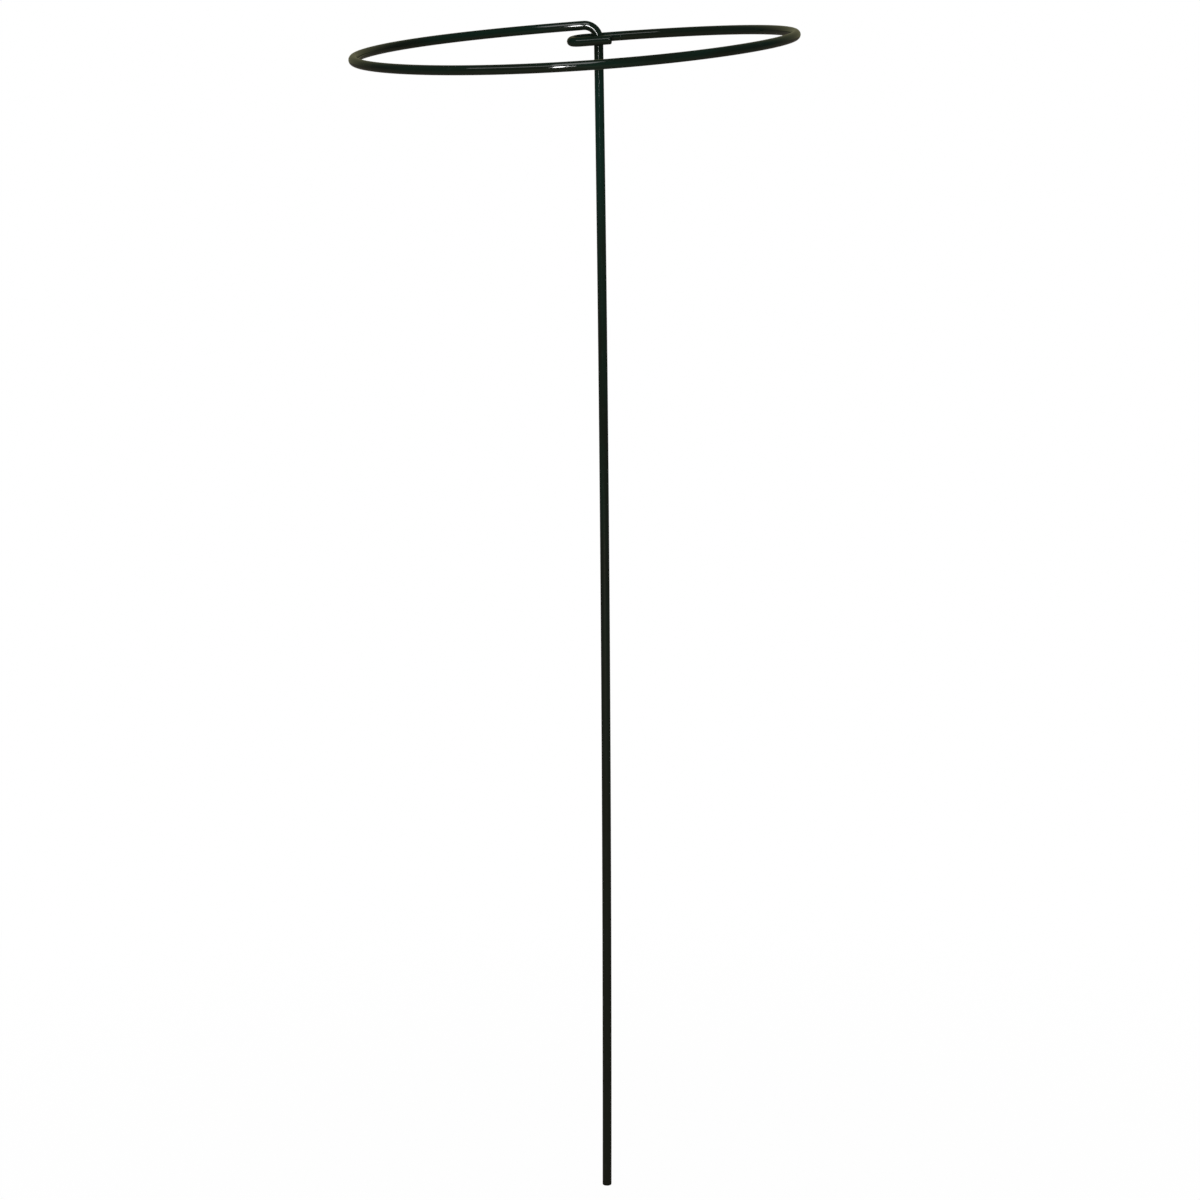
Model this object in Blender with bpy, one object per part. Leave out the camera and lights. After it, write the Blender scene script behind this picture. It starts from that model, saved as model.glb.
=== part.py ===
"""Single-stem plant support: one length of plastic-coated steel wire, bent into a stake, a neck, a ring
that lies in front of the stake, and a hook that closes the ring round the stake below the neck.

The origin is the middle of the stake's lower end, +Z runs up the stake, and the ring lies towards -Y.
The ring is a spring. It bends at three of the cuts between its pieces and twists at the fourth.
"""

import math

import bmesh
import bpy
from mathutils import Matrix, Vector

# The wire: a steel core in a plastic coating
CORE_RADIUS = 0.0020
COATING_THICKNESS = 0.0005
BOND_CLEARANCE = 0.0001
SEAL_LENGTH = 0.0020
SEAL_ROUNDING = 0.0008
CORE_SIDES = 12
COATING_SIDES = 16

# The stake, from its lower end to the ring's level, with its slight bow to the right
RING_HEIGHT = 0.645
STAKE_BOW = 0.0013

# The neck that turns the stake into the ring
NECK_RADIUS = 0.0075

# The ring: its centre stands to the left of the stake and its right side is higher
RING_RADIUS = 0.1136
RING_OFFSET = 0.0125
RING_ROLL = math.radians(3.7)
RING_SAG = 0.0006
PASSING_CLEARANCE = 0.0021
CLOSING_DIP = 0.0005
CLOSING_ANGLE = math.radians(270.0)

# The wire leaves the neck further back than the ring's circle does, and joins the circle after this span
NECK_SWING = math.radians(3.3)
SWING_SPAN = math.radians(78.0)

# The hook that holds the stake in its slot
SLOT_CLEARANCE = 0.0010
SLOT_ROOM = 0.0097
TIP_OVERHANG = 0.0054
HOOK_TILT = math.radians(4.0)

# The cuts between pieces: open where the wire flexes or twists, nearly closed where it doesn't.
# The twist stands half-way between the last two flexing cuts.
FLEX_GAP = 0.0003
SEAM_GAP = 0.0001
FLEX_STEP = math.radians(80.0)
FLEX_COUNT = 3
TWIST_ANGLE = (FLEX_COUNT - 0.5) * FLEX_STEP
HOOK_ROOT_LENGTH = 0.020

# How finely the wire is divided along its length
STAKE_STEP = 0.08
RING_STEP = math.radians(5.0)
BEND_STEP = math.radians(12.0)
SEAL_STEPS = 4
SMOOTH_ANGLE = math.radians(40.0)

# Sizes that follow from those above
WIRE_RADIUS = CORE_RADIUS + COATING_THICKNESS
HOOK_RADIUS = 2 * WIRE_RADIUS + SLOT_CLEARANCE
HOOK_CENTRE = WIRE_RADIUS + SLOT_ROOM - (HOOK_RADIUS - WIRE_RADIUS)
RING_DROP = 2 * WIRE_RADIUS + PASSING_CLEARANCE
FULL_TURN = 2 * math.pi

# The ring's own directions: right and back in its plane, and up out of it
RING_RIGHT = Vector((math.cos(RING_ROLL), 0.0, math.sin(RING_ROLL)))
RING_BACK = Vector((0.0, 1.0, 0.0))
RING_UP = RING_RIGHT.cross(RING_BACK)

# Names of the ring's moving arcs between the cuts, from the left round to the right
RING_PLACES = ("left_front", "front", "right_front")


class Stretch:
    """A stretch of the wire's centre line: its length, its sampling step, and its point and direction."""

    def __init__(self, length, step, at):
        self.length = length
        self.step = step
        self.at = at


def straight(start, direction, length):
    """A straight stretch."""
    return Stretch(length, length, lambda distance: (start + direction * distance, direction))


def bend(start, direction, inward, radius, angle):
    """A round bend that leaves start along direction and curves towards inward."""
    centre = start + inward * radius

    def at(distance):
        turn = distance / radius
        point = centre - inward * radius * math.cos(turn) + direction * radius * math.sin(turn)
        return point, direction * math.cos(turn) + inward * math.sin(turn)

    return Stretch(radius * angle, radius * BEND_STEP, at)


def ring_outward(angle):
    """The direction from the ring's centre at an angle counted from the back, by the left."""
    return RING_BACK * math.cos(angle) - RING_RIGHT * math.sin(angle)


def ring_heading(angle):
    """The direction along the ring at an angle."""
    return -RING_RIGHT * math.cos(angle) - RING_BACK * math.sin(angle)


def ring_rise(angle, first_angle):
    """Height out of the ring's plane: a steady fall to the hook, a sag at the front and the back, and the
    closing arc's dip."""
    fall = RING_DROP * (angle - first_angle) / FULL_TURN
    dip = CLOSING_DIP * (1 - math.cos(max(0.0, angle - CLOSING_ANGLE)))
    return -fall - dip - RING_SAG * (math.cos(2 * angle) - math.cos(2 * first_angle))


def ring_slope(angle):
    """How fast the height changes for each radian along the ring."""
    dip_slope = CLOSING_DIP * math.sin(max(0.0, angle - CLOSING_ANGLE))
    return -RING_DROP / FULL_TURN - dip_slope + 2 * RING_SAG * math.sin(2 * angle)


def ring_stretch(centre, radius, first_angle, start_angle, end_angle):
    """A stretch of the ring at one radius; first_angle is where the whole ring starts."""

    def at(distance):
        angle = start_angle + distance / radius
        point = centre + ring_outward(angle) * radius + RING_UP * ring_rise(angle, first_angle)
        direction = ring_heading(angle) + RING_UP * (ring_slope(angle) / radius)
        return point, direction.normalized()

    return Stretch(radius * (end_angle - start_angle), radius * RING_STEP, at)


def main_arc(centre, first_angle, start_shift):
    """The ring from the neck to the closing arc: a circle, apart from its first span, which lies a little
    outside it. The start shift leads from the circle's own start to the neck's end."""
    circle = ring_stretch(centre, RING_RADIUS, first_angle, first_angle, CLOSING_ANGLE)
    swing = math.tan(NECK_SWING) * RING_RADIUS

    def at(distance):
        turn = distance / RING_RADIUS
        angle = first_angle + turn
        share = min(1.0, turn / SWING_SPAN)
        outward = ring_outward(angle)
        swell = swing * SWING_SPAN * (share - 3 * share ** 3 + 2 * share ** 4)
        swell_slope = swing * (1 - 9 * share ** 2 + 8 * share ** 3)
        shift = start_shift * (1 - share ** 2 * (3 - 2 * share))
        shift_slope = start_shift * (-6 * share * (1 - share) / SWING_SPAN)
        point = circle.at(distance)[0] + outward * swell + shift
        along = ring_heading(angle) * (RING_RADIUS + swell) + RING_UP * ring_slope(angle)
        return point, (along + outward * swell_slope + shift_slope).normalized()

    return Stretch(circle.length, circle.step, at)


class Route:
    """The wire's whole centre line, measured from the stake's lower end."""

    def __init__(self):
        self.stretches = []
        self.length = 0.0

    def add(self, stretch):
        """Adds a stretch and returns the distance at which it starts."""
        start = self.length
        self.stretches.append((start, stretch))
        self.length += stretch.length
        return start

    def at(self, distance):
        """The point and the direction at a distance along the wire."""
        for start, stretch in self.stretches:
            if distance <= start + stretch.length:
                break
        return stretch.at(distance - start)

    def stations(self, first, last):
        """Points and directions from one distance to another, evenly divided in each stretch."""
        found = [self.at(first)]
        for start, stretch in self.stretches:
            low = max(first, start)
            high = min(last, start + stretch.length)
            if high <= low:
                continue
            count = max(1, math.ceil((high - low) / stretch.step - 0.01))
            for index in range(1, count + 1):
                found.append(stretch.at(low + (high - low) * index / count - start))
        return found


def lay_out_wire():
    """Builds the route and returns it with the distances of its landmarks."""
    route = Route()
    marks = {}

    # The left arc leaves the neck a little towards the back, so that the ring's centre stands at its offset
    neck_reach = NECK_RADIUS * math.tan((math.pi / 2 + RING_ROLL) / 2)
    offset_angle = math.asin(RING_OFFSET / math.hypot(RING_RADIUS, neck_reach))
    first_angle = math.atan2(neck_reach, RING_RADIUS) - offset_angle
    circle_direction = ring_heading(first_angle) + RING_UP * (ring_slope(first_angle) / RING_RADIUS)
    swung_direction = circle_direction + ring_outward(first_angle) * math.tan(NECK_SWING)

    # The stake is a shallow parabola that leans a little at each end
    stake_length = RING_HEIGHT + RING_DROP / 2 - RING_SAG - neck_reach

    def on_stake(distance):
        share = distance / stake_length
        point = Vector((STAKE_BOW * 4 * share * (1 - share), 0.0, distance))
        direction = Vector((STAKE_BOW * 4 * (1 - 2 * share) / stake_length, 0.0, 1.0))
        return point, direction.normalized()

    marks["stake"] = route.add(Stretch(stake_length, STAKE_STEP, on_stake))

    # The neck turns from the stake's direction to the ring's
    top, stake_direction = on_stake(stake_length)

    def neck_towards(direction):
        inward = direction - stake_direction * stake_direction.dot(direction)
        return bend(top, stake_direction, inward.normalized(), NECK_RADIUS, stake_direction.angle(direction))

    neck = neck_towards(swung_direction)
    marks["neck"] = route.add(neck)

    # The main arc of the ring, from the neck by the left and the front to the right side
    circle_neck = neck_towards(circle_direction)
    circle_start = circle_neck.at(circle_neck.length)[0]
    start_shift = neck.at(neck.length)[0] - circle_start
    centre = circle_start - ring_outward(first_angle) * RING_RADIUS
    marks["ring"] = route.add(main_arc(centre, first_angle, start_shift))

    # The closing arc is a little wider, so that it passes behind the stake by half the hook's width
    from_centre = top - centre
    right = from_centre.dot(RING_RIGHT)
    back = from_centre.dot(RING_BACK)
    inner_radius = RING_RADIUS - HOOK_RADIUS
    extra = (right ** 2 + back ** 2 - inner_radius ** 2) / (2 * (inner_radius - right))
    closing_radius = RING_RADIUS + extra
    closing_centre = centre - RING_RIGHT * extra
    end_angle = FULL_TURN - math.atan2(right + extra, back)
    closing = ring_stretch(closing_centre, closing_radius, first_angle, CLOSING_ANGLE, end_angle)
    marks["closing"] = route.add(closing)

    # The hook: behind the stake, round its closed end, and back in front of the stake
    behind_stake, hook_direction = closing.at(closing.length)
    marks["hook"] = route.add(straight(behind_stake, hook_direction, HOOK_CENTRE))
    turn_start = behind_stake + hook_direction * HOOK_CENTRE
    towards_front = RING_UP.cross(hook_direction).normalized()
    turn_inward = towards_front * math.cos(HOOK_TILT) - RING_UP * math.sin(HOOK_TILT)
    turn_inward = (turn_inward - hook_direction * hook_direction.dot(turn_inward)).normalized()
    turn = bend(turn_start, hook_direction, turn_inward, HOOK_RADIUS, math.pi)
    marks["hook_turn"] = route.add(turn)
    tip_length = HOOK_CENTRE + WIRE_RADIUS + TIP_OVERHANG
    marks["hook_front"] = route.add(straight(turn.at(turn.length)[0], -hook_direction, tip_length))

    def ring_distance(angle):
        """The distance along the wire at an angle of the ring."""
        if angle <= CLOSING_ANGLE:
            return marks["ring"] + RING_RADIUS * (angle - first_angle)
        return marks["closing"] + closing_radius * (angle - CLOSING_ANGLE)

    return route, marks, ring_distance


def loop_frames(stations):
    """A turning frame at each station, carried along without twist, with its Z along the wire."""
    side = stations[0][1].orthogonal().normalized()
    frames = []
    for point, direction in stations:
        side = (side - direction * side.dot(direction)).normalized()
        across = direction.cross(side)
        rows = (side, across, direction)
        frames.append(Matrix.Translation(point) @ Matrix(rows).transposed().to_4x4())
    return frames


def skin(mesh, near, far):
    """Joins two loops of the same count with a band of faces."""
    for index in range(len(near)):
        following = (index + 1) % len(near)
        mesh.faces.new((near[index], near[following], far[following], far[index]))


def loft(mesh, frames, radii, sides):
    """Adds a round loop at each frame, skins them in turn and returns the first and the last loop."""
    loops = []
    for frame, radius in zip(frames, radii):
        loops.append(bmesh.ops.create_circle(mesh, segments=sides, radius=radius, matrix=frame)["verts"])
    for near, far in zip(loops, loops[1:]):
        skin(mesh, near, far)
    return loops[0], loops[-1]


def make_material(name, colour, metallic, roughness, coat):
    """A plain finish for the solid model."""
    material = bpy.data.materials.new(name)
    material.use_nodes = True
    shader = material.node_tree.nodes["Principled BSDF"]
    shader.inputs["Base Color"].default_value = (*colour, 1.0)
    shader.inputs["Metallic"].default_value = metallic
    shader.inputs["Roughness"].default_value = roughness
    shader.inputs["Coat Weight"].default_value = coat
    material.diffuse_color = (*colour, 1.0)
    return material


def finish_object(mesh, name, material, carrier):
    """Closes the bmesh into an object that its carrier holds."""
    bmesh.ops.recalc_face_normals(mesh, faces=mesh.faces)
    data = bpy.data.meshes.new(name)
    mesh.to_mesh(data)
    mesh.free()
    data.materials.append(material)
    data.shade_smooth()
    data.set_sharp_from_angle(angle=SMOOTH_ANGLE)
    piece = bpy.data.objects.new(name, data)
    piece.parent = carrier
    bpy.context.scene.collection.objects.link(piece)
    return piece


class Carrier:
    """An empty at a joint, and the point of it in the whole object's frame."""

    def __init__(self, name, pivot, parent=None):
        self.pivot = pivot
        self.empty = bpy.data.objects.new(name, None)
        self.empty.location = pivot - parent.pivot if parent else pivot
        if parent:
            self.empty.parent = parent.empty
        bpy.context.scene.collection.objects.link(self.empty)

    def frames(self, stations):
        """Frames at the stations, as seen from the carrier's pivot."""
        return loop_frames([(point - self.pivot, direction) for point, direction in stations])


def make_core(name, stations, carrier, material):
    """A solid round steel core."""
    mesh = bmesh.new()
    frames = carrier.frames(stations)
    first, last = loft(mesh, frames, [CORE_RADIUS] * len(frames), CORE_SIDES)
    mesh.faces.new(first)
    mesh.faces.new(last)
    return finish_object(mesh, name, material, carrier.empty)


def make_coating(name, stations, carrier, material):
    """A plastic tube round the core, open at both ends."""
    mesh = bmesh.new()
    frames = carrier.frames(stations)
    outside = loft(mesh, frames, [WIRE_RADIUS] * len(frames), COATING_SIDES)
    bore = loft(mesh, frames, [CORE_RADIUS + BOND_CLEARANCE] * len(frames), COATING_SIDES)
    for outer, inner in zip(outside, bore):
        skin(mesh, outer, inner)
    return finish_object(mesh, name, material, carrier.empty)


def make_seal(name, end, outward, carrier, material):
    """The solid bead of coating that closes a cut end of the wire, flat in the middle of its face."""
    mesh = bmesh.new()
    flat_radius = WIRE_RADIUS - SEAL_ROUNDING
    stations = [(end - outward * SEAL_LENGTH, outward)]
    radii = [WIRE_RADIUS]
    for index in range(SEAL_STEPS + 1):
        turn = math.pi / 2 * index / SEAL_STEPS
        stations.append((end - outward * SEAL_ROUNDING * (1 - math.sin(turn)), outward))
        radii.append(flat_radius + SEAL_ROUNDING * math.cos(turn))
    first, last = loft(mesh, carrier.frames(stations), radii, COATING_SIDES)
    mesh.faces.new(first)
    mesh.faces.new(last)
    return finish_object(mesh, name, material, carrier.empty)


def make_piece(name, route, first, last, carrier, materials):
    """The steel core and the coating of one length of wire."""
    stations = route.stations(first, last)
    make_core(name + "_wire", stations, carrier, materials["steel"])
    make_coating(name + "_coating", stations, carrier, materials["coating"])


def build():
    """Makes the whole plant support."""
    for old in list(bpy.data.objects):
        bpy.data.objects.remove(old)

    materials = {
        "coating": make_material("green_coating", (0.006, 0.017, 0.010), 0.0, 0.18, 0.0),
        "steel": make_material("bright_steel", (0.56, 0.56, 0.55), 1.0, 0.35, 0.0),
    }
    route, marks, ring_distance = lay_out_wire()

    # Where the ring flexes or twists, as distances along the wire
    flex_angles = [FLEX_STEP * (index + 1) for index in range(FLEX_COUNT)]
    cut_angles = sorted(flex_angles + [TWIST_ANGLE])
    cuts = [ring_distance(angle) for angle in cut_angles]

    # The stake with its sealed lower end, the neck, and the ring's first arc, which the neck holds still
    stake = Carrier("stake_carrier", Vector((0.0, 0.0, 0.0)))
    neck_start = marks["neck"]
    neck_end = marks["ring"]
    make_seal("stake_tip_seal", route.at(0.0)[0], Vector((0.0, 0.0, -1.0)), stake, materials["coating"])
    make_piece("stake", route, SEAL_LENGTH + SEAM_GAP, neck_start - SEAM_GAP / 2, stake, materials)
    make_piece("neck", route, neck_start + SEAM_GAP / 2, neck_end - SEAM_GAP / 2, stake, materials)
    make_piece("ring_left_rear", route, neck_end + SEAM_GAP / 2, cuts[0] - FLEX_GAP / 2, stake, materials)

    # The ring's moving arcs, each carried by the one before it
    carrier = stake
    for place, first, last in zip(RING_PLACES, cuts, cuts[1:]):
        carrier = Carrier("ring_" + place + "_carrier", route.at(first)[0], carrier)
        make_piece("ring_" + place, route, first + FLEX_GAP / 2, last - FLEX_GAP / 2, carrier, materials)

    # The ring's last arc, the hook on its end, and the hook's sealed tip
    carrier = Carrier("hook_carrier", route.at(cuts[-1])[0], carrier)
    hook_start = marks["hook"] - HOOK_ROOT_LENGTH
    hook_end = route.length - SEAL_LENGTH
    make_piece("ring_right_rear", route, cuts[-1] + FLEX_GAP / 2, hook_start - SEAM_GAP / 2, carrier, materials)
    make_piece("hook", route, hook_start + SEAM_GAP / 2, hook_end - SEAM_GAP, carrier, materials)
    tip, tip_direction = route.at(route.length)
    make_seal("hook_tip_seal", tip, tip_direction, carrier, materials["coating"])


build()
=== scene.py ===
"""Looks of the single-stem plant support: one bent steel wire in a smooth, very dark green plastic coating.

All sizes are in metres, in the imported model's own frame. The coated wire is modelled straight, with its two
sealed ends, then bent along the same centre line as the solid model's, and cut where no joint moves it.
"""
import math

import bmesh
import bpy
from mathutils import Matrix, Vector


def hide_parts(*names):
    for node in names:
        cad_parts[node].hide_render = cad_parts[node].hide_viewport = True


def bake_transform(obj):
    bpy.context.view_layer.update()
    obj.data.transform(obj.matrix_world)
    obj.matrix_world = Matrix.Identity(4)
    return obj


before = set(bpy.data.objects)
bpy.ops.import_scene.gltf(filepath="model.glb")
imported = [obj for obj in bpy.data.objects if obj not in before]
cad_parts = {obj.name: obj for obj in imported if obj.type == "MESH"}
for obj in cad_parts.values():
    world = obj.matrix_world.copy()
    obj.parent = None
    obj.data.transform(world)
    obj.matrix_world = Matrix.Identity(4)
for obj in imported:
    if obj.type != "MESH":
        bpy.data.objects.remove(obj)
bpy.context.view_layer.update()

# The coated wire, how finely it is divided, and the angle up to which its faces are shaded as one surface
WIRE_RADIUS = 0.0025
WIRE_SIDES = 40
STAKE_LOOPS = 64
NECK_LOOPS = 24
RING_LOOP_ANGLE = math.radians(1.5)
HOOK_TURN_LOOPS = 36
HOOK_ARM_LOOPS = 6
SMOOTH_ANGLE = math.radians(40.0)

# How close two places along the straight wire are taken as one, and how squarely an end face looks along it
NEAR_ENOUGH = WIRE_RADIUS / 100
SQUARE_ENOUGH = 0.9

# The centre line: the stake, up to the ring's height, and the neck
RING_HEIGHT = 0.645
STAKE_BOW = 0.0013
NECK_RADIUS = 0.0075

# The centre line: the ring, whose angles are counted from the back, by the left. Its centre lies to the left
# of the stake, its right side is rolled up, and it falls in its turn, so that the hook passes under the neck
RING_RADIUS = 0.1136
RING_OFFSET = 0.0125
RING_ROLL = math.radians(3.7)
RING_SAG = 0.0006
PASSING_CLEARANCE = 0.0021
RING_DROP = 2 * WIRE_RADIUS + PASSING_CLEARANCE
CLOSING_DIP = 0.0005
CLOSING_ANGLE = math.radians(270.0)

# The centre line: how much further back than the ring's circle the wire leaves the neck, and the span after
# which it joins the circle
NECK_SWING = math.radians(3.3)
SWING_SPAN = math.radians(78.0)

# The centre line: the hook, from its clearance in front of and behind the stake, its room to the left of the
# stake's middle, and how far its tip ends past the stake
SLOT_CLEARANCE = 0.0010
SLOT_ROOM = 0.0097
TIP_OVERHANG = 0.0054
HOOK_RADIUS = 2 * WIRE_RADIUS + SLOT_CLEARANCE
HOOK_ARM = WIRE_RADIUS + SLOT_ROOM - (HOOK_RADIUS - WIRE_RADIUS)
HOOK_TIP_ARM = HOOK_ARM + WIRE_RADIUS + TIP_OVERHANG
HOOK_TILT = math.radians(4.0)

# The sealed ends: a rounded edge, then a rim, a slope and the edge of the floor of the shrunken middle, and
# how far from the end the loops lie that keep the shading of the edge close to it
SEAL_ROUNDING = 0.0008
SEAL_ROUNDING_STEPS = 6
SEAL_RIM = 0.22 * WIRE_RADIUS
SEAL_SLOPE = 0.16 * WIRE_RADIUS
SEAL_FLOOR_EDGE = 0.12 * WIRE_RADIUS
SEAL_DIMPLE = 0.00012
SEAL_LOOPS = (0.0014, 0.0026, 0.0034)

# Where the coating is cut, in the ring's angles, between the joints' places
CUT_ANGLES = (math.radians(120.0), math.radians(180.0), math.radians(220.0))

# The lengths of coating, each with the two bodies that it joins, the angle of the joint between them, and
# the angle over which it bends on either side
CROSSINGS = (
    ("coating_stake_and_left", "stake", "left_front", math.radians(80.0), math.radians(35.0)),
    ("coating_left_and_front", "left_front", "front", math.radians(160.0), math.radians(20.0)),
    ("coating_front_and_right", "front", "right_front", math.radians(200.0), math.radians(20.0)),
    ("coating_right_and_hook", "right_front", "hook", math.radians(240.0), math.radians(20.0)),
)

# The solid model's nodes that each length of coating takes the place of
COVERED_NODES = {
    "coating_stake_and_left": (
        "stake_tip_seal", "stake_coating", "neck_coating",
        "ring_left_rear_coating", "ring_left_front_coating",
    ),
    "coating_left_and_front": ("ring_left_front_coating", "ring_front_coating"),
    "coating_front_and_right": ("ring_front_coating", "ring_right_front_coating"),
    "coating_right_and_hook": (
        "ring_right_front_coating", "ring_right_rear_coating", "hook_coating", "hook_tip_seal",
    ),
}

# The coating's colours: two tones in soft clouds, painted light in a greyer tint on the stake's foot, a
# painted reflection in teal on the stake just under the ring, and rubbed places
COATING_TONES = ((0.006, 0.010, 0.006, 1.0), (0.0045, 0.015, 0.0095, 1.0))
FOOT_PAINTED_LIGHT = (0.007, 0.009, 0.006, 1.0)
UNDER_RING_PAINTED_REFLECTION = (0.004, 0.021, 0.015, 1.0)
COATING_RUBBED = (0.026, 0.034, 0.026, 1.0)
RUBBED_SHARE = 0.2

# Where along the wire the painted tint of the foot fades out, and the painted reflection fades in and out
FOOT_PAINTED_LIGHT_FADE = (0.05, 0.50)
PAINTED_REFLECTION_START = (0.50, 0.58)
PAINTED_REFLECTION_END = (0.61, 0.63)

# The coating's patterns: how fine each is along the wire and across it, and the range of it that counts
DRAWN_LINES = (45.0, 1500.0, 1500.0)
FINE_SKIN = (1800.0, 1800.0, 1800.0)
CLOUDS = (22.0, 160.0, 160.0)
TONE_RANGE = (0.35, 0.65)
CLOUDED_RANGE = (0.30, 0.70)
RUBBED_PLACES = (120.0, 420.0, 420.0)
RUBBED_RANGE = (0.56, 0.74)

# The coating's roughness, what clouds and rubbing add to it, and its relief
COATING_ROUGHNESS = 0.065
CLOUDED_ROUGHNESS = 0.035
RUBBED_ROUGHNESS = 0.08
DRAWN_SHARE = 0.7
SKIN_SHARE = 0.3
COATING_BUMP = 0.025
RELIEF_DEPTH = 0.00003
PLASTIC_IOR = 1.5

# The steel core: its colours, patterns, roughness and relief
STEEL_COLOUR = (0.56, 0.56, 0.55, 1.0)
STAIN_COLOUR = (0.30, 0.28, 0.26, 1.0)
STAIN_SHARE = 0.5
STEEL_GRAIN = (900.0, 900.0, 260.0)
STEEL_STAINS = (60.0, 60.0, 25.0)
STAIN_RANGE = (0.45, 0.70)
STEEL_ROUGHNESS = 0.28
GRAIN_ROUGHNESS = 0.18
STEEL_BUMP = 0.3

# The floor: its size, its gap under the stake, its colour for the object and for the camera, and how much of
# the shadow shows near the foot and how far from it the shadow fades out
FLOOR_SIZE = 12.0
FLOOR_GAP = 0.0002
FLOOR_FOR_OBJECT = (0.20, 0.178, 0.14, 1.0)
FLOOR_FOR_CAMERA = (0.85, 0.85, 0.85, 1.0)
SHADOW_SHARE = 0.02
SHADOW_FADE = (0.1, 0.7)

# The room: white for the camera, an even grey as soft light, and for reflections its front and its back
WHITE = (1.0, 1.0, 1.0, 1.0)
SOFT_LIGHT = (0.42, 0.42, 0.42, 1.0)
ROOM_FRONT = (0.04, 0.04, 0.04, 1.0)
ROOM_BACK = (0.165, 0.16, 0.095, 1.0)
ROOM_FADE = (0.42, 0.97)

# The lamps, which face one point. Each has its degrees to the right of the camera's side, its degrees up,
# its distance, its width and height, and its power
LAMP_TARGET = Vector((0.0, -0.1, RING_HEIGHT))
LAMPS = {
    "key": (-8.0, 5.0, 2.2, 0.21, 0.70, 22.0),
    "window": (-4.6, 4.0, 2.4, 0.22, 0.40, 1.6),
    "overhead": (-4.5, 54.0, 1.3, 0.40, 0.70, 2.7),
    "left_box": (-37.0, 41.0, 2.0, 1.55, 0.36, 5.0),
}

# The camera, as the photograph was taken
CAMERA_PLACE = Vector((0.0, -2.6, 0.830))
CAMERA_PITCH = math.radians(10.802)
CAMERA_YAW = math.radians(0.033)
CAMERA_ROLL = math.radians(-0.43)
CAMERA_LENS = 144.9
CAMERA_SENSOR = 36.0
CAMERA_CLIP = 0.01

# The ring's own directions
RING_RIGHT = Vector((math.cos(RING_ROLL), 0.0, math.sin(RING_ROLL)))
RING_BACK = Vector((0.0, 1.0, 0.0))
RING_UP = RING_RIGHT.cross(RING_BACK)


def ring_outward(angle):
    """The direction from the ring's centre at an angle."""
    return RING_BACK * math.cos(angle) - RING_RIGHT * math.sin(angle)


def ring_rise(angle, first_angle):
    """Height out of the ring's plane: a steady fall to the hook, a sag at the front and the back, and the
    closing arc's dip."""
    fall = RING_DROP * (angle - first_angle) / (2 * math.pi)
    dip = CLOSING_DIP * (1 - math.cos(max(0.0, angle - CLOSING_ANGLE)))
    return -fall - dip - RING_SAG * (math.cos(2 * angle) - math.cos(2 * first_angle))


def ring_direction(angle, radius):
    """The direction along the ring at an angle."""
    dip_slope = CLOSING_DIP * math.sin(max(0.0, angle - CLOSING_ANGLE))
    slope = -RING_DROP / (2 * math.pi) - dip_slope + 2 * RING_SAG * math.sin(2 * angle)
    heading = -RING_RIGHT * math.cos(angle) - RING_BACK * math.sin(angle)
    return heading + RING_UP * (slope / radius)


def arc(start, direction, inward, radius, angle, loops):
    """Points of a round bend that leaves start along direction and curves towards inward."""
    centre = start + inward * radius
    turns = [angle * index / loops for index in range(loops + 1)]
    across = inward * radius
    along = direction * radius
    return [centre - across * math.cos(turn) + along * math.sin(turn) for turn in turns]


def line(start, direction, length, loops):
    """Points of a straight run."""
    return [start + direction * length * index / loops for index in range(loops + 1)]


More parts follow.
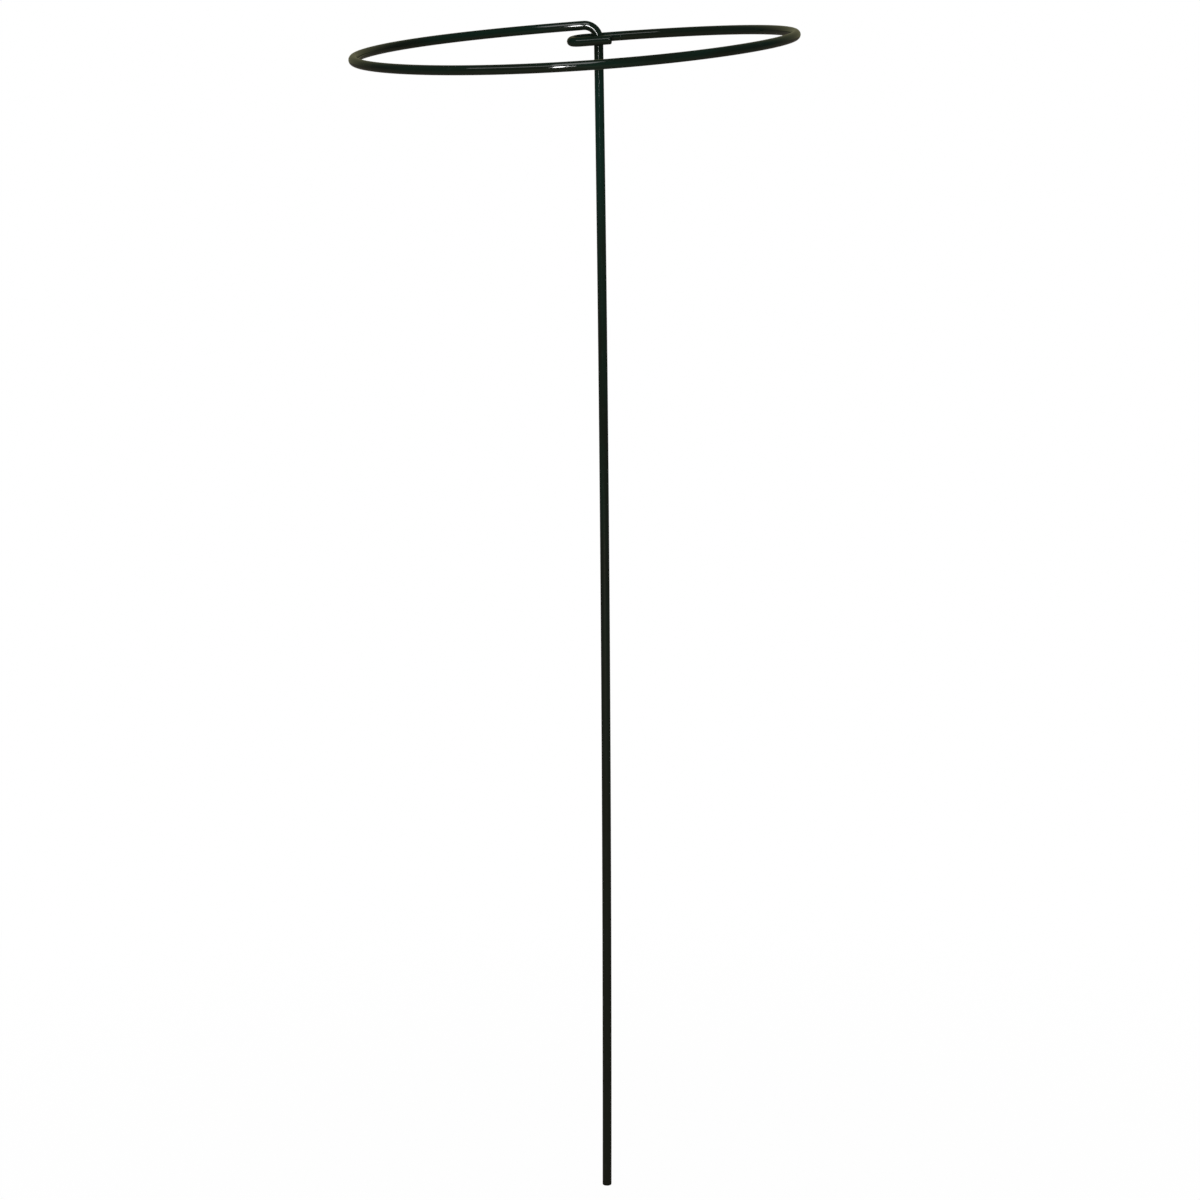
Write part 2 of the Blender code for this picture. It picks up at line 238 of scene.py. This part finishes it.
def lay_out_centre_line():
    """The runs of the centre line from the stake's foot to the hook's tip, each a list of points, and the
    ring's first angle. A run starts where the one before it ends."""
    neck_reach = NECK_RADIUS * math.tan((math.pi / 2 + RING_ROLL) / 2)
    offset_angle = math.asin(RING_OFFSET / math.hypot(RING_RADIUS, neck_reach))
    first_angle = math.atan2(neck_reach, RING_RADIUS) - offset_angle
    circle_direction = ring_direction(first_angle, RING_RADIUS)
    swung_direction = circle_direction + ring_outward(first_angle) * math.tan(NECK_SWING)

    # The stake, a shallow bow
    stake_length = RING_HEIGHT + RING_DROP / 2 - RING_SAG - neck_reach
    shares = [index / STAKE_LOOPS for index in range(STAKE_LOOPS + 1)]
    stake = [Vector((STAKE_BOW * 4 * share * (1 - share), 0.0, stake_length * share)) for share in shares]
    stake_direction = Vector((-STAKE_BOW * 4 / stake_length, 0.0, 1.0)).normalized()

    # The neck
    def neck_towards(direction):
        """The neck's points when the wire leaves it in a direction."""
        inward = direction - stake_direction * stake_direction.dot(direction)
        angle = stake_direction.angle(direction)
        return arc(stake[-1], stake_direction, inward.normalized(), NECK_RADIUS, angle, NECK_LOOPS)

    neck = neck_towards(swung_direction)

    # The ring's main arc: a circle, apart from its first span, which lies a little outside it. The swell
    # begins at the slope of the swing and fades out, and so does the shift between the two starts
    circle_start = neck_towards(circle_direction)[-1]
    start_shift = neck[-1] - circle_start
    centre = circle_start - ring_outward(first_angle) * RING_RADIUS
    swing = math.tan(NECK_SWING) * RING_RADIUS * SWING_SPAN

    def round_ring(middle, radius, start_angle, end_angle):
        """The ring's points round a middle between two angles."""
        loops = round((end_angle - start_angle) / RING_LOOP_ANGLE)
        points = []
        for index in range(loops + 1):
            angle = start_angle + (end_angle - start_angle) * index / loops
            share = min(1.0, (angle - first_angle) / SWING_SPAN)
            swell = swing * (share - 3 * share ** 3 + 2 * share ** 4)
            shift = start_shift * (1 - share ** 2 * (3 - 2 * share))
            rise = RING_UP * ring_rise(angle, first_angle)
            points.append(middle + ring_outward(angle) * (radius + swell) + rise + shift)
        return points

    main_arc = round_ring(centre, RING_RADIUS, first_angle, CLOSING_ANGLE)

    # The closing arc is a little wider, so that it passes behind the stake
    from_centre = stake[-1] - centre
    right = from_centre.dot(RING_RIGHT)
    back = from_centre.dot(RING_BACK)
    inner_radius = RING_RADIUS - HOOK_RADIUS
    extra = (right ** 2 + back ** 2 - inner_radius ** 2) / (2 * (inner_radius - right))
    end_angle = 2 * math.pi - math.atan2(right + extra, back)
    closing_arc = round_ring(centre - RING_RIGHT * extra, RING_RADIUS + extra, CLOSING_ANGLE, end_angle)

    # The hook
    hook_direction = ring_direction(end_angle, RING_RADIUS + extra).normalized()
    rear_arm = line(closing_arc[-1], hook_direction, HOOK_ARM, HOOK_ARM_LOOPS)
    towards_front = RING_UP.cross(hook_direction).normalized()
    turn_inward = towards_front * math.cos(HOOK_TILT) - RING_UP * math.sin(HOOK_TILT)
    turn_inward = (turn_inward - hook_direction * hook_direction.dot(turn_inward)).normalized()
    turn = arc(rear_arm[-1], hook_direction, turn_inward, HOOK_RADIUS, math.pi, HOOK_TURN_LOOPS)
    front_arm = line(turn[-1], -hook_direction, HOOK_TIP_ARM, HOOK_ARM_LOOPS)
    return [stake, neck, main_arc, closing_arc, rear_arm, turn, front_arm], first_angle


def run_length(points):
    """Length along a list of points."""
    return sum((far - near).length for near, far in zip(points, points[1:]))


def select_only(item):
    """Selects one object alone and makes it active."""
    bpy.ops.object.select_all(action="DESELECT")
    item.select_set(True)
    bpy.context.view_layer.objects.active = item


def is_near(first, second):
    """Tells whether two places along the straight wire are the same."""
    return abs(first - second) < NEAR_ENOUGH


def pick_faces(item, test):
    """In edit mode, selects only the faces whose centre and normal pass the test."""
    bpy.ops.mesh.select_mode(type="FACE")
    bpy.ops.mesh.select_all(action="DESELECT")
    mesh = bmesh.from_edit_mesh(item.data)
    for face in mesh.faces:
        face.select = test(face.calc_center_median(), face.normal)
    mesh.select_flush_mode()
    bmesh.update_edit_mesh(item.data)


def pick_edges(item, test):
    """In edit mode, selects only the edges whose two ends pass the test."""
    bpy.ops.mesh.select_mode(type="EDGE")
    bpy.ops.mesh.select_all(action="DESELECT")
    mesh = bmesh.from_edit_mesh(item.data)
    for edge in mesh.edges:
        edge.select = test(edge.verts[0].co, edge.verts[1].co)
    mesh.select_flush_mode()
    bmesh.update_edit_mesh(item.data)


def model_straight_wire(runs):
    """The coated wire as a straight rod along +X, with a loop of edges for each point of the centre line."""
    lengths = [run_length(run) for run in runs]
    bpy.ops.mesh.primitive_cylinder_add(
        vertices=WIRE_SIDES,
        radius=WIRE_RADIUS,
        depth=lengths[0],
        location=(lengths[0] / 2, 0.0, 0.0),
        rotation=(0.0, math.pi / 2, 0.0),
    )
    wire = bpy.context.active_object
    wire.name = "wire"
    bpy.ops.object.transform_apply(location=True, rotation=True, scale=True)
    bpy.ops.object.mode_set(mode="EDIT")

    # Each further run is extruded from the end, and each run is then cut by its loops
    end = lengths[0]
    for length in lengths[1:]:
        pick_faces(wire, lambda middle, normal: is_near(middle.x, end) and normal.x > SQUARE_ENOUGH)
        bpy.ops.mesh.extrude_region_move(TRANSFORM_OT_translate={"value": (length, 0.0, 0.0)})
        end += length
    start = 0.0
    for run, length in zip(runs, lengths):
        low = start - NEAR_ENOUGH
        high = start + length + NEAR_ENOUGH
        pick_edges(wire, lambda a, b: not is_near(a.x, b.x) and low < a.x < high and low < b.x < high)
        bpy.ops.mesh.subdivide(number_cuts=len(run) - 2)
        start += length

    # The two sealed ends
    for face_x, inwards in ((0.0, 1.0), (end, -1.0)):
        shape_sealed_end(wire, face_x, inwards)
    bpy.ops.object.mode_set(mode="OBJECT")
    return wire


def shape_sealed_end(wire, face_x, inwards):
    """Gives an end its bead of coating, with a rounded edge and a shrunken middle."""
    for distance in SEAL_LOOPS:
        place = face_x + inwards * distance
        bpy.ops.mesh.select_mode(type="EDGE")
        bpy.ops.mesh.select_all(action="SELECT")
        bpy.ops.mesh.bisect(plane_co=(place, 0.0, 0.0), plane_no=(1.0, 0.0, 0.0))
    pick_edges(wire, lambda a, b: is_near(a.x, face_x) and is_near(b.x, face_x))
    bpy.ops.mesh.bevel(offset=SEAL_ROUNDING, segments=SEAL_ROUNDING_STEPS, affect="EDGES")
    pick_faces(
        wire,
        lambda middle, normal: is_near(middle.x, face_x) and -normal.x * inwards > SQUARE_ENOUGH,
    )
    bpy.ops.mesh.inset(thickness=SEAL_RIM)
    bpy.ops.mesh.inset(thickness=SEAL_SLOPE)
    bpy.ops.transform.translate(value=(inwards * SEAL_DIMPLE, 0.0, 0.0))
    bpy.ops.mesh.inset(thickness=SEAL_FLOOR_EDGE)


def remember_straight_shape(wire):
    """Keeps where each point lay on the straight wire, for patterns that follow the wire."""
    straight = wire.data.attributes.new("straight", "FLOAT_VECTOR", "POINT")
    for vertex, entry in zip(wire.data.vertices, straight.data):
        entry.vector = vertex.co


def bend_wire(wire, runs):
    """Bends the straight wire along its centre line."""
    points = list(runs[0])
    for run in runs[1:]:
        points.extend(run[1:])
    guide_data = bpy.data.curves.new("centre_line", "CURVE")
    guide_data.dimensions = "3D"
    guide_data.twist_mode = "MINIMUM"
    spline = guide_data.splines.new("POLY")
    spline.points.add(len(points) - 1)
    for entry, point in zip(spline.points, points):
        entry.co = (*point, 1.0)
    guide = bpy.data.objects.new("centre_line", guide_data)
    bpy.context.scene.collection.objects.link(guide)
    select_only(wire)
    bending = wire.modifiers.new("bending", "CURVE")
    bending.object = guide
    bending.deform_axis = "POS_X"
    bpy.ops.object.modifier_apply(modifier=bending.name)
    bpy.data.objects.remove(guide)


def cut_wire(wire, names, distances):
    """Cuts the bent wire across at these distances along it, closes the cuts, and names the lengths."""
    lengths = []
    rest = wire
    for name, distance in zip(names, distances):
        straight = rest.data.attributes["straight"].data
        select_only(rest)
        for kind in (rest.data.vertices, rest.data.edges, rest.data.polygons):
            kind.foreach_set("select", [False] * len(kind))
        for face in rest.data.polygons:
            middle = sum(straight[index].vector.x for index in face.vertices) / len(face.vertices)
            face.select = middle > distance
        bpy.context.tool_settings.mesh_select_mode = (False, False, True)
        bpy.ops.object.mode_set(mode="EDIT")
        bpy.ops.mesh.separate(type="SELECTED")
        bpy.ops.object.mode_set(mode="OBJECT")
        rest.name = name
        lengths.append(rest)
        rest = next(item for item in bpy.context.selected_objects if item != rest)
    rest.name = names[-1]
    lengths.append(rest)
    for item in lengths:
        item.data.name = item.name
        select_only(item)
        bpy.ops.object.mode_set(mode="EDIT")
        bpy.ops.mesh.select_all(action="SELECT")
        bpy.ops.mesh.fill_holes(sides=0)
        bpy.ops.mesh.normals_make_consistent(inside=False)
        bpy.ops.object.mode_set(mode="OBJECT")
        bpy.ops.object.shade_smooth_by_angle(angle=SMOOTH_ANGLE)
    return lengths


class Flow:
    """An output in a material's nodes. Maths on it adds Math nodes, and node() adds any other node."""

    def __init__(self, tree, socket=None):
        self.tree = tree
        self.socket = socket

    def node(self, kind, settings=None, inputs=None, output=0):
        """Adds a node, with its settings first and then the values or links of its sockets."""
        made = self.tree.nodes.new("ShaderNode" + kind)
        for name, value in (settings or {}).items():
            setattr(made, name, value)
        for name, value in (inputs or {}).items():
            if isinstance(value, Flow):
                self.tree.links.new(value.socket, made.inputs[name])
            else:
                made.inputs[name].default_value = value
        return Flow(self.tree, made.outputs[output]) if len(made.outputs) else None

    def maths(self, operation, first, second):
        """Adds a Math node on two values."""
        return self.node("Math", {"operation": operation}, {0: first, 1: second})

    def __add__(self, other):
        return self.maths("ADD", self, other)

    def __mul__(self, other):
        return self.maths("MULTIPLY", self, other)

    __radd__ = __add__
    __rmul__ = __mul__


def start_material(name):
    """A new material with no nodes yet."""
    material = bpy.data.materials.new(name)
    material.use_nodes = True
    material.node_tree.nodes.clear()
    return material, Flow(material.node_tree)


def noise(flow, place, stretch, detail=3.0, roughness=0.5):
    """Soft noise, from 0 to 1, over a place that is first stretched by three factors."""
    scaled = flow.node("VectorMath", {"operation": "MULTIPLY"}, {0: place, 1: stretch})
    inputs = {"Vector": scaled, "Scale": 1.0, "Detail": detail, "Roughness": roughness}
    return flow.node("TexNoise", None, inputs)


def between(flow, value, low, high, out_low=0.0, out_high=1.0):
    """Spreads the range from low to high over the range from out_low to out_high, smoothly."""
    inputs = {"Value": value, 1: low, 2: high, 3: out_low, 4: out_high}
    return flow.node("MapRange", {"interpolation_type": "SMOOTHSTEP"}, inputs)


def mix_colours(flow, factor, first, second):
    """Mixes two colours."""
    return flow.node("Mix", {"data_type": "RGBA"}, {0: factor, 6: first, 7: second}, output=2)


def coating_finish():
    """Smooth, very dark green plastic: clouds in its tone and gloss, rubbed places, and fine drawn lines and
    skin in its relief. Painted light: a greyer tint on the stake's foot, and a teal reflection just under the
    ring."""
    material, flow = start_material("green_coating")
    place = flow.node("Attribute", {"attribute_name": "straight"}, output="Vector")
    along = flow.node("SeparateXYZ", None, {0: place}, output="X")
    clouds = noise(flow, place, CLOUDS)
    wear = noise(flow, place, RUBBED_PLACES, detail=4.0, roughness=0.6)
    rubbed = between(flow, wear, *RUBBED_RANGE)

    # The colour
    colour = mix_colours(flow, between(flow, clouds, *TONE_RANGE), *COATING_TONES)
    # Painted light: the stake's lower part takes a greyer, slightly darker tint that stands in for the light
    # falling there
    colour = mix_colours(flow, between(flow, along, *FOOT_PAINTED_LIGHT_FADE), FOOT_PAINTED_LIGHT, colour)
    # Painted reflection: a teal sheen painted on the stake just under the ring
    painted_reflection = between(flow, along, *PAINTED_REFLECTION_START) * between(flow, along, *PAINTED_REFLECTION_END, 1.0, 0.0)
    colour = mix_colours(flow, painted_reflection, colour, UNDER_RING_PAINTED_REFLECTION)
    colour = mix_colours(flow, rubbed * RUBBED_SHARE, colour, COATING_RUBBED)

    # The gloss and the relief
    clouded = between(flow, clouds, *CLOUDED_RANGE)
    roughness = COATING_ROUGHNESS + CLOUDED_ROUGHNESS * clouded + RUBBED_ROUGHNESS * rubbed
    drawn_lines = noise(flow, place, DRAWN_LINES, detail=2.0)
    skin = noise(flow, place, FINE_SKIN, detail=2.0)
    relief = DRAWN_SHARE * drawn_lines + SKIN_SHARE * skin
    bump = flow.node("Bump", None, {"Strength": COATING_BUMP, "Distance": RELIEF_DEPTH, "Height": relief})
    shader = flow.node("BsdfPrincipled", None, {
        "Base Color": colour,
        "Roughness": roughness,
        "IOR": PLASTIC_IOR,
        "Normal": bump,
    })
    flow.node("OutputMaterial", None, {"Surface": shader})
    return material


def core_finish():
    """Drawn steel wire, with a fine grain that is drawn out along the stake, and faint stains."""
    material, flow = start_material("steel_core")
    place = flow.node("TexCoord", output="Object")
    grain = noise(flow, place, STEEL_GRAIN, detail=4.0, roughness=0.6)
    stains = between(flow, noise(flow, place, STEEL_STAINS), *STAIN_RANGE)
    colour = mix_colours(flow, stains * STAIN_SHARE, STEEL_COLOUR, STAIN_COLOUR)
    bump = flow.node("Bump", None, {"Strength": STEEL_BUMP, "Distance": RELIEF_DEPTH, "Height": grain})
    shader = flow.node("BsdfPrincipled", None, {
        "Base Color": colour,
        "Metallic": 1.0,
        "Roughness": STEEL_ROUGHNESS + GRAIN_ROUGHNESS * grain,
        "Normal": bump,
    })
    flow.node("OutputMaterial", None, {"Surface": shader})
    return material


def make_floor():
    """A plain floor that the camera sees as white, with a faint shadow round the stake's foot."""
    bpy.ops.mesh.primitive_plane_add(size=FLOOR_SIZE, location=(0.0, 0.0, -FLOOR_GAP))
    floor = bpy.context.active_object
    floor.name = "floor"
    material, flow = start_material("floor")
    seen = flow.node("LightPath", output="Is Camera Ray")
    colour = mix_colours(flow, seen, FLOOR_FOR_OBJECT, FLOOR_FOR_CAMERA)
    pale = flow.node("BsdfDiffuse", None, {"Color": colour})
    white = flow.node("Emission", None, {"Color": WHITE, "Strength": 1.0})
    place = flow.node("TexCoord", output="Object")
    distance = flow.node("VectorMath", {"operation": "LENGTH"}, {0: place}, output="Value")
    plain = between(flow, distance, *SHADOW_FADE, 1.0 - SHADOW_SHARE, 1.0)
    surface = flow.node("MixShader", None, {0: seen * plain, 1: pale, 2: white})
    flow.node("OutputMaterial", None, {"Surface": surface})
    floor.data.materials.append(material)


def make_world():
    """White for the camera, soft grey light, and for reflections a dim room that is paler and warmer behind
    the object than in front of it."""
    world = bpy.data.worlds.new("room")
    world.use_nodes = True
    world.node_tree.nodes.clear()
    flow = Flow(world.node_tree)
    seen = flow.node("LightPath", output="Is Camera Ray")
    reflected = flow.node("LightPath", output="Is Glossy Ray")
    direction = flow.node("TexCoord", output="Generated")
    depth = flow.node("SeparateXYZ", None, {0: direction}, output="Y")
    room = mix_colours(flow, between(flow, depth, *ROOM_FADE), ROOM_FRONT, ROOM_BACK)
    colour = mix_colours(flow, reflected, SOFT_LIGHT, room)
    colour = mix_colours(flow, seen, colour, WHITE)
    light = flow.node("Background", None, {"Color": colour, "Strength": 1.0})
    flow.node("OutputWorld", None, {"Surface": light})
    bpy.context.scene.world = world


def make_lamps():
    """Plain soft studio light."""
    for name, (right, up, distance, width, height, power) in LAMPS.items():
        azimuth = math.radians(right)
        elevation = math.radians(up)
        level = math.cos(elevation)
        side = Vector((math.sin(azimuth) * level, -math.cos(azimuth) * level, math.sin(elevation)))
        bpy.ops.object.light_add(type="AREA", location=LAMP_TARGET + side * distance)
        lamp = bpy.context.active_object
        lamp.name = name
        lamp.rotation_euler = side.to_track_quat("Z", "Y").to_euler()
        lamp.data.shape = "RECTANGLE"
        lamp.data.size = width
        lamp.data.size_y = height
        lamp.data.energy = power


def make_camera():
    """The camera at the photograph's place."""
    bpy.ops.object.camera_add()
    camera = bpy.context.active_object
    turn = Matrix.Rotation(CAMERA_YAW, 4, "Z") @ Matrix.Rotation(math.pi / 2 - CAMERA_PITCH, 4, "X")
    camera.matrix_world = Matrix.Translation(CAMERA_PLACE) @ turn @ Matrix.Rotation(CAMERA_ROLL, 4, "Z")
    camera.data.sensor_width = CAMERA_SENSOR
    camera.data.lens = CAMERA_LENS
    camera.data.clip_start = CAMERA_CLIP
    bpy.context.scene.camera = camera


def ring_point(main_arc, first_angle, angle):
    """The point at an angle of the ring's main arc."""
    place = (angle - first_angle) / (CLOSING_ANGLE - first_angle) * (len(main_arc) - 1)
    index = min(int(place), len(main_arc) - 2)
    return main_arc[index].lerp(main_arc[index + 1], place - index)


def make_coating():
    """The whole coated wire, in four lengths that each cross one joint."""
    runs, first_angle = lay_out_centre_line()
    stake, neck, main_arc = runs[:3]
    wire = model_straight_wire(runs)
    remember_straight_shape(wire)
    bend_wire(wire, runs)
    ring_start = run_length(stake) + run_length(neck)
    ring_length = run_length(main_arc)
    shares = [(angle - first_angle) / (CLOSING_ANGLE - first_angle) for angle in CUT_ANGLES]
    distances = [ring_start + ring_length * share for share in shares]
    lengths = cut_wire(wire, [crossing[0] for crossing in CROSSINGS], distances)
    finish = coating_finish()
    for item, (name, first_body, second_body, angle, spread) in zip(lengths, CROSSINGS):
        item.data.materials.clear()
        item.data.materials.append(finish)
        start = ring_point(main_arc, first_angle, angle - spread)
        end = ring_point(main_arc, first_angle, angle + spread)
        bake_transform(item)
        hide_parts(*COVERED_NODES[name])


def finish_cores():
    """The steel cores stay as the solid model has them, closed in by the coating."""
    finish = core_finish()
    for name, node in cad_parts.items():
        if name.endswith("_wire"):
            for slot in node.material_slots:
                slot.material = finish


bpy.ops.object.select_all(action="DESELECT")
make_coating()
finish_cores()
make_floor()
make_world()
make_lamps()
make_camera()
bpy.context.scene.view_settings.view_transform = "Standard"

bpy.context.view_layer.update()
